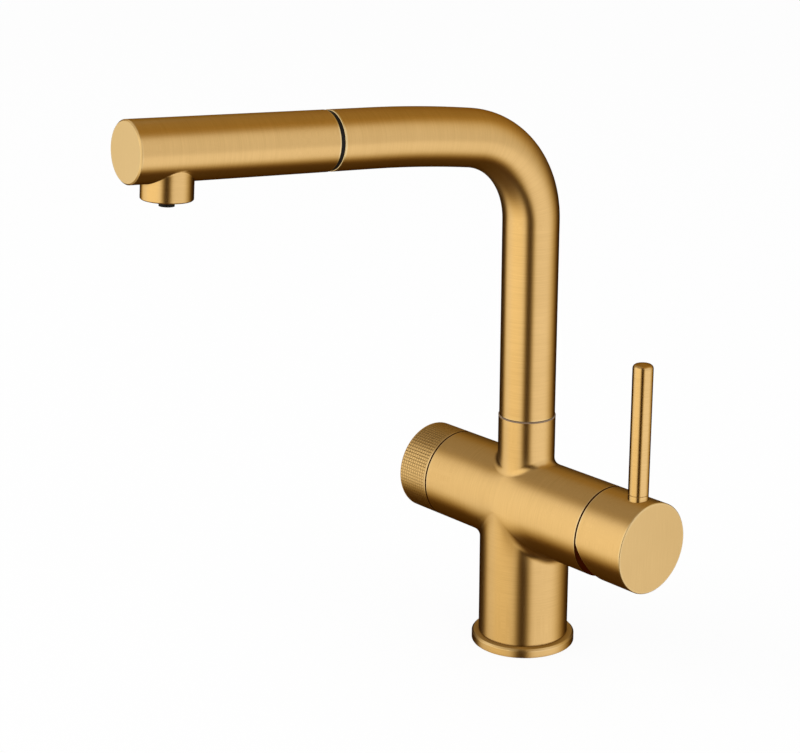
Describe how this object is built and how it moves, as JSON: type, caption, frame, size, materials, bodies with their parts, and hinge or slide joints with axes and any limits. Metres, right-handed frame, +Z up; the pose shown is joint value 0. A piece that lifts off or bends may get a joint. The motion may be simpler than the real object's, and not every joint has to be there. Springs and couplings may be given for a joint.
{
  "type": "three way filtered water tap",
  "caption": "Kitchen mixer tap with a swivelling pull-out spray spout, a side lever for hot and cold water and a knurled side knob for filtered water.",
  "frame": {"origin": "middle of the tap's foot, on the deck that it stands on", "axes": "+Z up along the column; -Y towards the person at the sink; the mixer handle at +X and the filtered-water knob at -X"},
  "size_m": [0.1569, 0.2465, 0.2956],
  "materials": {
    "brushed_gold": "brushed gold",
    "brass_inner": "plain turned brass",
    "black_plastic": "black moulded",
    "nylon": "pale grey nylon",
    "rubber": "black",
    "ceramic": "lapped white ceramic",
    "steel": "stainless",
    "copper": "copper tube",
    "white_plastic": "white moulded",
    "hose_braid": "woven nylon"
  },
  "bodies": {
    "tap_base": {"tap_body": "brushed_gold", "base_ring": "brushed_gold", "base_gasket": "rubber", "inlet_block": "brass_inner", "hot_supply_tube": "copper", "cold_supply_tube": "copper", "mixed_outlet_tube": "copper", "filtered_inlet_tube": "copper", "filtered_outlet_tube": "copper", "swivel_washer": "nylon", "spout_keeper_screw": "steel", "hose_tail": "brass_inner", "cartridge_seal": "rubber", "cartridge_base": "white_plastic", "cartridge_housing": "white_plastic", "cartridge_fixed_disc": "ceramic", "cartridge_nut": "brass_inner", "cartridge_shroud": "brushed_gold", "valve_seal": "rubber", "valve_fixed_disc": "ceramic", "valve_headwork": "brass_inner"},
    "spout": {"spout_tube": "brushed_gold", "swivel_insert": "brass_inner", "swivel_rings": "rubber", "dock_collar": "black_plastic", "pull_hose": "hose_braid", "filtered_hose": "white_plastic"},
    "spray": {"spray_shell": "brushed_gold", "spray_core": "black_plastic", "hose_connector": "brass_inner", "hose_ferrule": "steel", "filtered_head_tube": "white_plastic", "filtered_outlet": "black_plastic", "aerator_housing": "brushed_gold", "aerator_grid": "black_plastic", "aerator_seal": "rubber"},
    "turret": {"cartridge_turret": "white_plastic", "cartridge_pivot_pin": "steel"},
    "mixing_disc": {"cartridge_moving_disc": "ceramic", "cartridge_disc_carrier": "white_plastic"},
    "handle": {"handle_stem": "brass_inner", "handle_cap": "brushed_gold", "handle_lever": "brushed_gold", "lever_stud": "steel", "handle_screw": "steel"},
    "filter_valve": {"valve_turning_disc": "ceramic", "valve_spindle": "brass_inner", "valve_circlip": "steel", "filter_knob": "brushed_gold", "knob_screw": "steel"}
  },
  "joints": [
    {"name": "spout_swivel", "type": "hinge", "parent": "tap_base", "child": "spout", "pos_m": [0, 0, 0.12175], "axis": [0, 0, 1], "continuous": true},
    {"name": "spray_pull", "type": "slide", "parent": "spout", "child": "spray", "axis": [-0.1095, -0.9918, 0.0663], "range_m": [0, 0.25], "deforming": ["pull_hose", "filtered_hose"]},
    {"name": "mixer_temperature", "type": "hinge", "parent": "tap_base", "child": "turret", "pos_m": [0.0568, 0, 0.076], "axis": [1, 0, 0], "range_deg": [-45, 45]},
    {"name": "handle_tilt", "type": "hinge", "parent": "turret", "child": "handle", "pos_m": [0.0568, 0, 0.076], "axis": [0, 1, 0], "range_deg": [0, 20]},
    {"name": "mixing_disc_slide", "type": "slide", "parent": "turret", "child": "mixing_disc", "axis": [0, 0, 1], "range_m": [0, 0.00506]},
    {"name": "filter_knob_turn", "type": "hinge", "parent": "tap_base", "child": "filter_valve", "pos_m": [-0.0502, 0, 0.076], "axis": [-1, 0, 0], "range_deg": [0, 90]}
  ],
  "couplings": [
    {"joint": "mixing_disc_slide", "follows": "handle_tilt", "m_per_rad": 0.0145}
  ]
}
